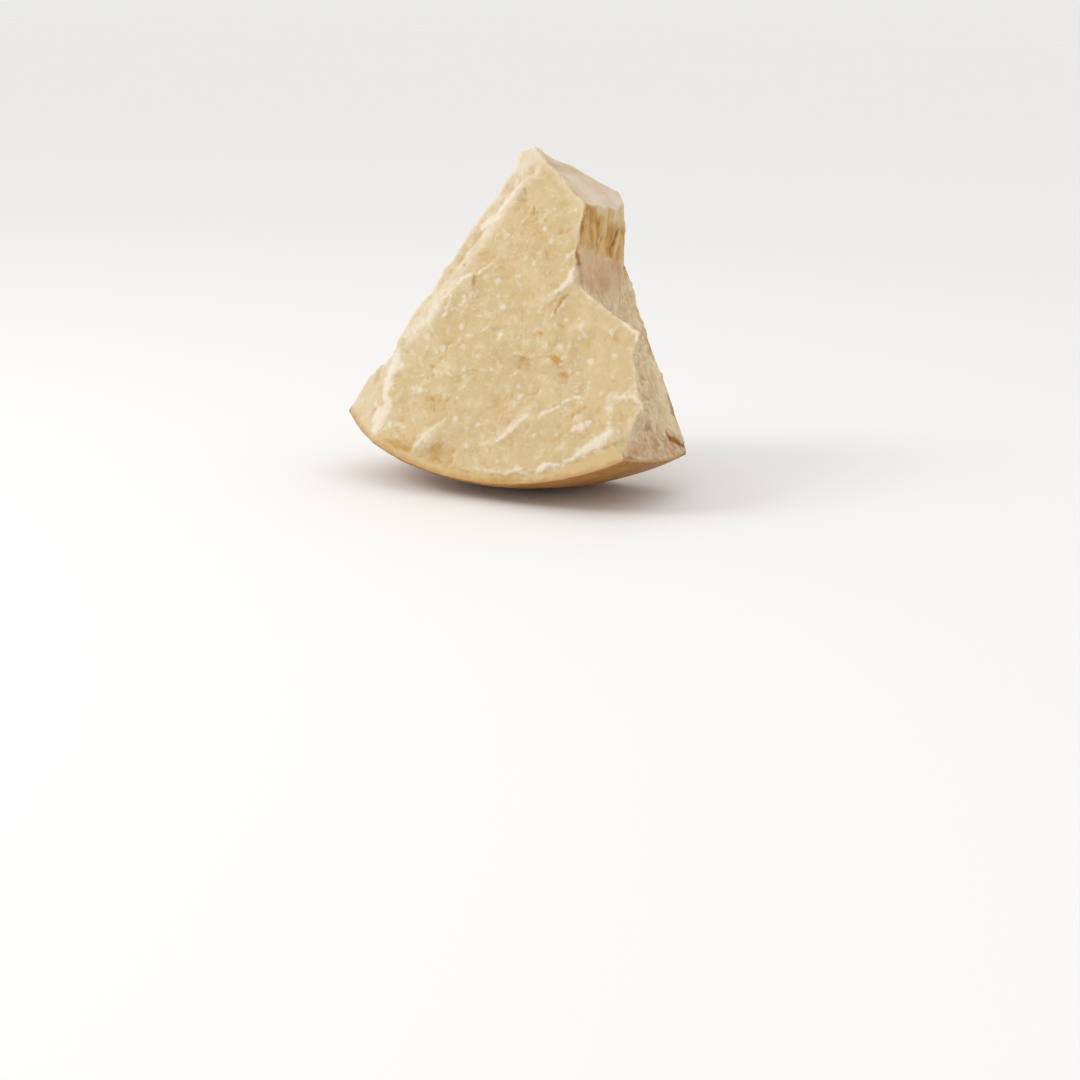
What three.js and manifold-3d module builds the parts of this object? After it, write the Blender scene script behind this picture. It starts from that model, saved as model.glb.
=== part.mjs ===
// A chunk of hard grating cheese, broken from one half of a wheel: a wedge with five fracture faces,
// which stands on its curved rind and leans back.
//
// It is laid out in the wheel's own frame, in millimetres. The wheel's axis is the Y axis, y = 0 is the
// wheel's mid-height, where it was halved, and y = HALF_HEIGHT is its flat face. Z points up, so the tip
// of the wedge is near the origin and the rind is below it. The finished solid is leaned back by LEAN,
// gets its small flat spot, and is moved until the middle of its box's bottom is the origin.

import * as THREE from 'three';
import { ImprovedNoise } from 'three/addons/math/ImprovedNoise.js';
import { mergeVertices } from 'three/addons/utils/BufferGeometryUtils.js';
import Module from 'manifold-3d';

// ---- The wheel ----
const BELLY_RADIUS = 225; // at mid-height
const EDGE_RADIUS = 201.5; // where the barrel side reaches the flat face
const HALF_HEIGHT = 110;
const BARREL_POWER = 1.85; // how late the side curves in
const RIM_ROUND = 7; // rounding between the side and the flat face
const WHEEL_STEPS = 120; // facets round the whole wheel,
const BARREL_STEPS = 14; // along its side
const RIM_STEPS = 4; // and over its rounded rim
const BEFORE_MIDDLE = 30; // the barrel starts this far before mid-height, in front of the broken face

// ---- The wedge ----
const LEFT_ANGLE = 32.5; // degrees from straight down to the left fracture
const RIGHT_ANGLE = 28.6; // and to the right one
const RIGHT_SHIFT = 6; // the right fracture passes this far beside the axis
const TIP = [-1.6, 0, 8.9]; // the highest point of the front face
const SHOULDER = [43.6, 0, -28.4]; // where the top facet ends above the right face
const TOP_FACET_OUT = [0.628, -0.158, 0.762]; // the top facet looks this way
const BACK_RIDGE = [24, 55, 0.6]; // the far end of the ridge that runs back from the tip
const BACK_DROP = [10, 110, -30]; // a point low on the back of the broken tip
const LEAN = 18.9; // degrees, backwards
const SPOT_SAG = 1.0; // how much the rind is flattened where it rests

// ---- Grid steps of the fracture faces ----
const FRONT_STEP = 3.7;
const RIGHT_STEP = 4.6;
const LEFT_STEP = 7;
const CHIP_STEP = 5;
const TOP_STEP = 6.5;
const BLOCK_SIZE = 520; // every block is larger than the chunk, whichever way it is turned

const { cos, sin, abs, exp, hypot, max, min, floor, round, PI } = Math;
const radians = (degrees) => (degrees * PI) / 180;
const clamp01 = (value) => min(1, max(0, value));
const vector = (x, y, z) => new THREE.Vector3(x, y, z);

function smoothstep(start, end, value) {
  const share = clamp01((value - start) / (end - start));
  return share * share * (3 - 2 * share);
}

// Straight lines through stations of [place, height], in order of place.
function profile(stations, place) {
  const next = stations.findIndex(([station]) => station > place);
  if (next === 0) return stations[0][1];
  if (next < 0) return stations[stations.length - 1][1];
  const [start, low] = stations[next - 1];
  const [end, high] = stations[next];
  return low + ((high - low) * (place - start)) / (end - start);
}

// ---- Relief ----

const perlin = new ImprovedNoise();

// Smooth noise of about -1 to 1, with hills and hollows `size` across.
const hills = (seed, size, a, b) => perlin.noise(a / size + 17.3 * seed, b / size + 5.7 * seed, 3.1 * seed);

// The cheese splits in flakes: broken crests run one way across a face, each with a gentle back and a
// steep front, `size` apart.
const FLAKE_ANGLE = radians(40); // of the crests, from the face's across towards its up
const FLAKE = { size: 27, rise: 3.0, bend: 38, patch: 27 }; // crests bend and come in patches
const CREST = 0.76; // share of the way from one crest's foot to the next where it is highest

function flakes(seed, a, b) {
  const across = b * cos(FLAKE_ANGLE) - a * sin(FLAKE_ANGLE);
  const level = across / FLAKE.size + 1.5 * hills(seed, FLAKE.bend, a, b);
  const share = level - floor(level);
  const shape = share < CREST ? share / CREST : smoothstep(1, CREST, share);
  return FLAKE.rise * shape * smoothstep(-0.05, 0.4, hills(seed + 1, FLAKE.patch, a, b));
}

// A broken face has broad waves, crags with sharp crests, grain of the size of the cheese's own
// crumbs, and flakes.
const WAVES = [{ size: 75, height: 3.6 }, { size: 36, height: 2.2 }];
const CRAGS = { size: 19, height: 2.2 };
const GRAIN = { size: 10, height: 1.2 };

function fracture(seed, roughness, a, b) {
  const [broad, middle] = WAVES.map(({ size, height }, i) => height * hills(seed + i, size, a, b));
  const crags = CRAGS.height * (0.3 - abs(hills(seed + 2, CRAGS.size, a, b)));
  const grain = GRAIN.height * hills(seed + 3, GRAIN.size, a, b);
  return roughness * (broad + middle + crags + grain + flakes(seed + 4, a, b));
}

// A ledge between two points, with a wandering line. The side on the left of the way from `from` to
// `to` stands proud by `rise`, drops over `crisp` at the line and fades over `fade` away from it.
const WANDER = { seed: 61, size: 16, height: 5 };

function ledge({ from, to, rise, crisp, fade }, a, b) {
  const length = hypot(to[0] - from[0], to[1] - from[1]);
  const along = [(to[0] - from[0]) / length, (to[1] - from[1]) / length];
  const way = (a - from[0]) * along[0] + (b - from[1]) * along[1];
  const wander = WANDER.height * hills(WANDER.seed, WANDER.size, a, b);
  const side = (b - from[1]) * along[0] - (a - from[0]) * along[1] + wander;
  const ends = smoothstep(-0.2 * length, 0.15 * length, way) * smoothstep(1.2 * length, 0.85 * length, way);
  return rise * ends * (side > 0 ? exp(-side / fade) : smoothstep(-crisp, 0, side));
}

// A round hollow.
const pit = ({ at, radius, depth }, a, b) => -depth * exp(-((hypot(a - at[0], b - at[1]) / radius) ** 2));

// ---- Front face: across = x, up = z ----

const FRONT_LEDGES = [
  { from: [-13, -75], to: [-42, -90], rise: 3.4, crisp: 6, fade: 24 },
  { from: [-38, -86], to: [-57, -122], rise: 3.0, crisp: 6, fade: 20 },
  { from: [0, -15], to: [-33, -48], rise: 2.8, crisp: 6, fade: 14 },
  { from: [38, -167], to: [4, -201], rise: 3.4, crisp: 6, fade: 18 },
  { from: [-28, -182], to: [-49, -208], rise: 3.2, crisp: 7, fade: 9 },
  { from: [8, -134], to: [56, -141], rise: 3.0, crisp: 6, fade: 15 },
  { from: [28, -97], to: [52, -82], rise: 2.4, crisp: 6, fade: 12 },
  { from: [44, -116], to: [38, -92], rise: 2.2, crisp: 5, fade: 12 },
  { from: [90, -152], to: [98, -188], rise: 2.6, crisp: 5, fade: 18 },
];
const FRONT_PITS = [
  { at: [1, -27], radius: 6, depth: 1.8 },
  { at: [30, -118], radius: 5, depth: 1.8 },
  { at: [50, -143], radius: 6, depth: 1.8 },
  { at: [-46, -172], radius: 13, depth: 2.6 },
  { at: [-66, -186], radius: 7, depth: 2.2 },
  { at: [-27, -208], radius: 9, depth: 2.4 },
];
const FRONT_SEED = 1;
const FRONT_ROUGHNESS = 0.8;
const BEVEL = { width: 12, drop: 7 }; // rounding along the upper left edge
const BAND_LEFT = 7; // thickness of the rind's band, at the left
const BAND_RIGHT = 17; // and at the right corner
const BAND_CALM = 0.45; // the band is smoother than the cheese by this share
const TORN = { rise: 2.4, crisp: 5, fade: 16 }; // the torn cheese stands in front of the band

// Along the upper left edge the face rounds off, from below the tip down to the chipped corner.
function leftBevel(x, z) {
  const fromLeft = x * cos(radians(LEFT_ANGLE)) - z * sin(radians(LEFT_ANGLE));
  const along = smoothstep(-150, -120, z) * smoothstep(4, -22, z);
  return BEVEL.drop * along * clamp01(1 - fromLeft / BEVEL.width) ** 2;
}

function frontRelief(x, z) {
  const turn = THREE.MathUtils.radToDeg(Math.atan2(x, -z));
  const band = BAND_LEFT + (BAND_RIGHT - BAND_LEFT) * smoothstep(5, RIGHT_ANGLE, turn);
  const aboveBand = BELLY_RADIUS - band - hypot(x, z);
  const tornEdge = smoothstep(-TORN.crisp / 2, TORN.crisp / 2, aboveBand) * smoothstep(-10, 8, turn);
  const torn = TORN.rise * tornEdge * exp(-max(0, aboveBand) / TORN.fade);
  const roughness = FRONT_ROUGHNESS - BAND_CALM * smoothstep(12, 0, aboveBand);
  const ledges = FRONT_LEDGES.reduce((sum, item) => sum + ledge(item, x, z), 0);
  const pits = FRONT_PITS.reduce((sum, item) => sum + pit(item, x, z), 0);
  const broken = fracture(FRONT_SEED, roughness, x, z);
  return ledges + pits + torn - leftBevel(x, z) + broken;
}

// ---- Right face: across = depth from the front, up = towards the axis ----

// How far the lip at the front edge flares out, by distance from the axis.
const LIP = [
  [84, 0], [97, 1.5], [113, 10], [128, 19], [139, 27], [145, 34.5], [151, 29],
  [161, 21.5], [175, 20.5], [185, 17.5], [190, 20.5], [198, 15], [209, 3.5], [213, -4.5], [222, -7],
];
const LIP_DEPTH = 58; // the flare has died out this far behind the front face
// Above the lip the face stands upright, off the fracture's plane by so much, by distance from the axis.
const UPRIGHT = [[20, 26], [32, 23.5], [43, 21], [54, 16.5], [61, 12.5], [73, 6.5], [86, 3], [97, 0]];
const UPRIGHT_BELLY = 0.14; // it bulges by this share behind the front edge,
const UPRIGHT_START = 60; // and turns in towards the back between these depths
const UPRIGHT_END = 98;
const STREAK = { width: 7, length: 45, height: 2.6, seed: 4.4 }; // torn streaks on the upright part
// Towards the back the face is hollow, by distance from the axis.
const RIGHT_HOLLOW = [[20, 0], [50, -3], [105, -3.4], [140, -1.8], [175, 0]];
const RIGHT_SETTLE = 1.2; // the rough middle of the face lies this much deeper
const RIGHT_SEED = 11;

function rightRelief(depth, up) {
  const reach = -up;
  const lip = profile(LIP, reach) * clamp01(1 - depth / LIP_DEPTH) ** 2;
  const belly = 1 + UPRIGHT_BELLY * smoothstep(10, 45, depth);
  const upright = profile(UPRIGHT, reach) * belly * smoothstep(UPRIGHT_END, UPRIGHT_START, depth);
  const hollow = profile(RIGHT_HOLLOW, reach) * smoothstep(30, HALF_HEIGHT, depth);
  const tear = perlin.noise(depth / STREAK.width, reach / STREAK.length, STREAK.seed);
  const streaks = STREAK.height * tear * smoothstep(100, 75, reach);
  const inside = smoothstep(0, 16, depth) * smoothstep(HALF_HEIGHT, HALF_HEIGHT - 22, depth);
  const broken = fracture(RIGHT_SEED, 0.15 + 0.75 * inside, depth, up);
  return lip + upright + hollow + streaks - RIGHT_SETTLE * inside + broken;
}

// ---- Left face: across = minus the depth, up = towards the axis ----

// How far the face stands off its radial plane, by distance from the axis.
const LEFT_BOW = [
  [0, 10], [8, 10.4], [16, 8.6], [40, 8.2], [51, 10], [72, 7], [95, 6], [115, 3.2], [141, 3.4],
  [153, -0.5], [165, -5.5], [178, -1], [190, 4], [201, 7.5], [225, 8],
];
const LEFT_SEED = 21;

function leftRelief(across, up) {
  const inside = smoothstep(0, 22, -across);
  return profile(LEFT_BOW, -up) + fracture(LEFT_SEED, 0.2 + 0.7 * inside, across, up);
}

// ---- Top facet: a smooth, shallow scoop, across = from the tip to the shoulder, up = backwards ----

const TOP_PITS = [
  { at: [14, 13], radius: 11, depth: 4.0 },
  { at: [34, 32], radius: 26, depth: 0.6 },
];

const TOP_WAVE = { seed: 31, size: 22, height: 0.7 };

function topRelief(across, up) {
  const pits = TOP_PITS.reduce((sum, item) => sum + pit(item, across, up), 0);
  return pits + TOP_WAVE.height * hills(TOP_WAVE.seed, TOP_WAVE.size, across, up);
}

// ---- Solids ----

const wasm = await Module();
wasm.setup();

// A closed mesh as a solid, with its shared vertices merged and the collapsed triangles left out.
function solid(geometry) {
  const bare = geometry.clone();
  bare.deleteAttribute('normal');
  bare.deleteAttribute('uv');
  const merged = mergeVertices(bare);
  const index = merged.index.array;
  const kept = [];
  for (let i = 0; i < index.length; i += 3) {
    const [a, b, c] = [index[i], index[i + 1], index[i + 2]];
    if (a !== b && b !== c && c !== a) kept.push(a, b, c);
  }
  return new wasm.Manifold(
    new wasm.Mesh({
      numProp: 3,
      vertProperties: new Float32Array(merged.attributes.position.array),
      triVerts: new Uint32Array(kept),
    }),
  );
}

function toGeometry(manifold) {
  const { vertProperties, triVerts } = manifold.getMesh();
  const geometry = new THREE.BufferGeometry();
  geometry.setAttribute('position', new THREE.BufferAttribute(vertProperties, 3));
  geometry.setIndex(new THREE.BufferAttribute(triVerts, 1));
  return geometry;
}

// A block with one broken face. Seen from outside, `right` and `up` span that face through `origin`,
// and relief(across, up) raises it outwards.
function brokenBlock({ origin, right, up, step, relief }) {
  const cells = round(BLOCK_SIZE / step);
  const box = new THREE.BoxGeometry(BLOCK_SIZE, BLOCK_SIZE, BLOCK_SIZE, cells, cells, 1);
  box.translate(0, 0, -BLOCK_SIZE / 2);
  const points = box.attributes.position;
  for (let i = 0; i < points.count; i += 1) {
    if (points.getZ(i) > -1e-6) points.setZ(i, relief(points.getX(i), points.getY(i)));
  }
  const out = right.clone().cross(up);
  box.applyMatrix4(new THREE.Matrix4().makeBasis(right, up, out).setPosition(origin));
  return solid(box);
}

function frontBlock() {
  return brokenBlock({
    origin: vector(0, 0, 0),
    right: vector(1, 0, 0),
    up: vector(0, 0, 1),
    step: FRONT_STEP,
    relief: frontRelief,
  });
}

function rightBlock() {
  const angle = radians(RIGHT_ANGLE);
  return brokenBlock({
    origin: vector(RIGHT_SHIFT, 0, 0),
    right: vector(0, 1, 0),
    up: vector(-sin(angle), 0, cos(angle)),
    step: RIGHT_STEP,
    relief: rightRelief,
  });
}

function leftBlock() {
  const angle = radians(LEFT_ANGLE);
  return brokenBlock({
    origin: vector(0, 0, 0),
    right: vector(0, -1, 0),
    up: vector(sin(angle), 0, cos(angle)),
    step: LEFT_STEP,
    relief: leftRelief,
  });
}

// The lower left corner of the front face has chipped off, back to the left face.
const CHIP_TOP = vector(-78.5, 0, -136);
const CHIP_BOTTOM = vector(-85, 0, -195);
const CHIP_BACK = vector(-120, 20, -183);
const CHIP_SEED = 41;
const CHIP_ROUGHNESS = 0.45;

function chipBlock() {
  const up = CHIP_TOP.clone().sub(CHIP_BOTTOM).normalize();
  const out = CHIP_BACK.clone().sub(CHIP_BOTTOM).cross(up).normalize();
  if (out.y > 0) out.negate();
  return brokenBlock({
    origin: CHIP_TOP,
    right: up.clone().cross(out),
    up,
    step: CHIP_STEP,
    relief: (across, height) => fracture(CHIP_SEED, CHIP_ROUGHNESS, across, height),
  });
}

function topBlock() {
  const tip = vector(...TIP);
  const right = vector(...SHOULDER).sub(tip).normalize();
  const out = vector(...TOP_FACET_OUT);
  out.addScaledVector(right, -out.dot(right)).normalize();
  return brokenBlock({
    origin: tip,
    right,
    up: out.clone().cross(right),
    step: TOP_STEP,
    relief: topRelief,
  });
}

// The tip of the wedge has broken away behind the ridge.
const BACK_TIP_SEED = 51;
const BACK_TIP_ROUGHNESS = 0.4;

function backTipBlock() {
  const tip = vector(...TIP);
  const ridge = vector(...BACK_RIDGE).sub(tip).normalize();
  const out = ridge.clone().cross(vector(...BACK_DROP).sub(tip)).normalize();
  return brokenBlock({
    origin: tip,
    right: ridge.clone().negate(),
    up: out.clone().cross(ridge.clone().negate()),
    step: TOP_STEP,
    relief: (across, height) => fracture(BACK_TIP_SEED, BACK_TIP_ROUGHNESS, across, height),
  });
}

const sideRadius = (y) => BELLY_RADIUS - (BELLY_RADIUS - EDGE_RADIUS) * abs(y / HALF_HEIGHT) ** BARREL_POWER;

// The wheel from a little below its mid-height to its flat face, as a lathed barrel.
function wheel() {
  const end = HALF_HEIGHT - RIM_ROUND;
  const points = [new THREE.Vector2(0, -BEFORE_MIDDLE)];
  for (let i = 0; i <= BARREL_STEPS; i += 1) {
    const y = -BEFORE_MIDDLE + ((end + BEFORE_MIDDLE) * i) / BARREL_STEPS;
    points.push(new THREE.Vector2(sideRadius(y), y));
  }
  for (let i = 1; i <= RIM_STEPS; i += 1) {
    const turn = (i / RIM_STEPS) * (PI / 2);
    const radius = sideRadius(end) - RIM_ROUND * (1 - cos(turn));
    points.push(new THREE.Vector2(radius, end + RIM_ROUND * sin(turn)));
  }
  points.push(new THREE.Vector2(0, HALF_HEIGHT));
  return solid(new THREE.LatheGeometry(points, WHEEL_STEPS));
}

// ---- The chunk ----

function chunkGeometry() {
  const pieces = [frontBlock(), rightBlock(), leftBlock(), chipBlock(), topBlock(), backTipBlock()];
  const broken = pieces.reduce((rest, block) => rest.intersect(block), wheel());
  const leaned = toGeometry(broken);
  leaned.rotateX(-radians(LEAN));
  leaned.computeBoundingBox();
  leaned.translate(0, 0, -leaned.boundingBox.min.z - SPOT_SAG);
  const room = new THREE.BoxGeometry(BLOCK_SIZE, BLOCK_SIZE, BLOCK_SIZE);
  room.translate(0, 0, BLOCK_SIZE / 2);
  const standing = toGeometry(solid(leaned).intersect(solid(room)));
  standing.computeBoundingBox();
  const middle = standing.boundingBox.getCenter(new THREE.Vector3());
  standing.translate(-middle.x, -middle.y, 0);
  return standing;
}

const cheese = new THREE.MeshStandardMaterial({ color: '#d9c295', roughness: 0.62, metalness: 0 });
const chunk = new THREE.Mesh(chunkGeometry(), cheese);
chunk.name = 'parmesan_chunk';

const group = new THREE.Group();
group.add(chunk);

export default group;
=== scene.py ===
"""A chunk broken from a wheel of hard grating cheese, standing on its rind, in a plain studio."""

import math
import random

import bmesh
import bpy
import numpy as np
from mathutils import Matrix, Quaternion, Vector, kdtree, noise


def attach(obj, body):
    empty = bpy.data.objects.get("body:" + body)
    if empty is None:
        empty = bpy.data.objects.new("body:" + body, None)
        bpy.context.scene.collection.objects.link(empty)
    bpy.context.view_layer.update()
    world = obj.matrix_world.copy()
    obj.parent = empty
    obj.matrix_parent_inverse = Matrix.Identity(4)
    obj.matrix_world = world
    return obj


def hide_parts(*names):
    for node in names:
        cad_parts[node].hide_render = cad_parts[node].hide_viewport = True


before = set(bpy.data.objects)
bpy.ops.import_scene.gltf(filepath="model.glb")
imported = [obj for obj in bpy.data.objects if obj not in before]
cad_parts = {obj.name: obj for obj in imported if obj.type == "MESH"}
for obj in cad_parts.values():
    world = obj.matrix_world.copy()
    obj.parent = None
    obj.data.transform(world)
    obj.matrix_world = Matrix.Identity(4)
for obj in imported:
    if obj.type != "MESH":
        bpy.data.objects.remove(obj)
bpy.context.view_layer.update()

bl_info = {
    "name": "Hard Cheese Chunk",
    "version": (1, 0, 0),
    "blender": (4, 5, 0),
    "location": "3D View > Sidebar > Cheese",
    "description": "A broken chunk of hard grating cheese on its rind, with a plain studio",
    "category": "Object",
}

NODE = "parmesan_chunk"
MM = 0.001

# ---- The wheel's frame, in millimetres: x across, t from mid-height to the flat face, z up ----
WHEEL_SHIFT = np.array([6.327, -10.930, 225.910])  # the wheel's centre, in the row frame
LEAN = math.radians(18.9)
BELLY_RADIUS = 225.0
EDGE_RADIUS = 201.5
HALF_HEIGHT = 110.0
BARREL_POWER = 1.85
RIM_ROUND = 7.0
RIGHT_ANGLE = math.radians(28.6)
RIGHT_SHIFT = 6.0
RIGHT_OUT = np.array([math.cos(RIGHT_ANGLE), 0.0, math.sin(RIGHT_ANGLE)])
TOP_OUT = np.array([0.628, -0.158, 0.762])
BAND_LEFT, BAND_RIGHT = 7.0, 14.5  # thickness of the dense band inside the rind
BAND_TURN = (5, 28.6)  # degrees round the wheel between which the band thickens

# ---- Limits of the surface's parts, in millimetres: where a part starts to show, and where it is full ----
# reach is the distance from the wheel's axis along the right face, outward the distance out of it
SKIN_GAP = (1.5, 0.7)  # from the rind
FACET_FOOT = (-48, -36)  # z of the lower edge of the facet at the top
LEFT_EDGE_WIDTH, LEFT_EDGE_DEPTH = (20, 8), (45, 25)
TORN_START, TORN_END, TORN_FRONT = (22, 32), (76, 67), (-26, -18)  # reach, reach, t
SMOOTH_START, SMOOTH_END, SMOOTH_BACK = (68, 76), (102, 88), (92, 50)  # reach, reach, t
FOOT_START = (182, 202)  # reach
BARE_END, BARE_FRONT = (52, 40), (8, 26)  # reach, t
LIP_OUT, LIP_START, LIP_END = (-24, -6), (92, 104), (206, 192)  # outward, reach, reach
PALE_BACK, PALE_START, PALE_END = (60, 95), (110, 125), (192, 178)  # t, reach, reach
FACET_SLAB, FACET_SLAB_END = (9, 5), (-60, -48)  # from the facet's plane, z: its edges are rounded there
CALM_DEPTH = (6, 16)  # t behind which the smooth part is evened out
MARK_DEPTH = (32, 14)  # t behind which the front's marks do not show

# ---- Rounds in which each point is drawn to its neighbours, and how that is used ----
EVEN_POINTS, EVEN_NORMALS, EVEN_PLATES, SOFT_COPY, ROUND_EDGES, FACET_SPREAD = 3, 4, 4, 40, 12, 25
TURNED_NORMALS, FINE_COPY, BROAD_COPY = 8, 5, 70
ROUND_BACK = 2.0  # how much of a rounded edge's height is given back
CREASE_ANGLE, CREASE = math.radians(38), 0.75

# ---- Relief in layers: (size in millimetres, seed, height); the size may differ by axis ----
FINE_LUMPS = ((7, 5, 0.40), (3.4, 32, 0.26), (2.0, 7, 0.16))
TORN_STREAKS = (((34, 10, 14), 12, 2.4), ((17, 4.0, 8), 13, 0.9))
TORN_FIBRES, TORN_CRUMBS = (((9, 1.9, 5), 73, 0.45),), ((2.0, 74, 0.2),)
LOWER_WAVES = (((24, 16, 14), 14, 1.8), ((10, 7, 8), 17, 0.8))
SMOOTH_GRAIN = ((5, 71, 0.35), (2.2, 72, 0.16))
SKIN_LUMPS = ((34, 19, 0.5), (9, 20, 0.2), (3.2, 35, 0.07))
BROAD_PLATES = ((38, 28, 21), 1.8, 0.8, 40)  # size, tilt, level, seed
SMALL_PLATES = ((17, 12, 9), 0.7, 0.3, 50)
GRANULE = 4.6  # width of the curd's granules
FLAKE_WIDTH, FLAKE_CREST = 17, 0.88  # width of each thin step, and the share of it that rises
SCARP_START, SCARP_END = (-0.15, 0.2), (1.15, 0.8)  # shares along a scarp over which it rises and ends

# ---- Crystals, in millimetres ----
CRYSTAL_CELL, CRYSTAL_APART, CRYSTAL_FROM_RIND = 9, 7, 5
CRYSTAL_SMALLEST, CRYSTAL_SPREAD, CRYSTAL_RARITY = 0.45, 1.1, 2.2  # large ones are rare

# ---- Stage, in metres and degrees ----
FLOOR_RADIUS, FLOOR_SIDES = 60.0, 96
FILL_TINT, KEY_TINT = (1.0, 0.99, 0.975, 1.0), (1.0, 0.985, 0.955)
LAMP_SIZE, LAMP_PLACE, LAMP_AIM = 0.9, (-0.95, -1.25, 1.35), (0, 0, 0.11)
CAMERA_PLACE, CAMERA_TURN, CAMERA_TILT = (0.7083, -1.2629, 0.3170), 28.9, 75.98
CAMERA_ROLL = 0.02  # in radians
SENSOR = 36.0  # in millimetres

# ---- Relief of the front face: lines of (x, z). The side on the left of a line stands proud ----
SCARPS = (
    # line, rise, drop width, fade
    (((-15, -76), (-27, -82), (-39, -88), (-47, -97), (-51, -106), (-55, -118)), 0.9, 2.6, 9),
    (((-2, -12), (-10, -28), (-19, -38), (-33, -48)), 0.8, 2.6, 8),
    (((34, -171), (27, -179), (18, -190), (6, -198)), 1.1, 2.6, 9),
    (((-34, -187), (-42, -195), (-49, -208)), 0.6, 2.6, 6),
    (((11, -134), (25, -136), (41, -134), (52, -140)), 0.9, 2.2, 8),
    (((65, -159), (54, -167), (41, -176)), 0.8, 2.2, 7),
    (((81, -173), (68, -180), (61, -186)), 0.7, 2.1, 7),
    (((46, -83), (43, -88), (34, -92)), 0.6, 2.1, 5),
    (((61, -108), (60, -115), (65, -121)), 0.7, 2.2, 6),
    (((93, -156), (91, -165), (92, -172), (97, -184)), 0.6, 3.0, 8),
    (((-42, -99), (-44, -107), (-45, -116)), 0.6, 1.9, 5),
)
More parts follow.
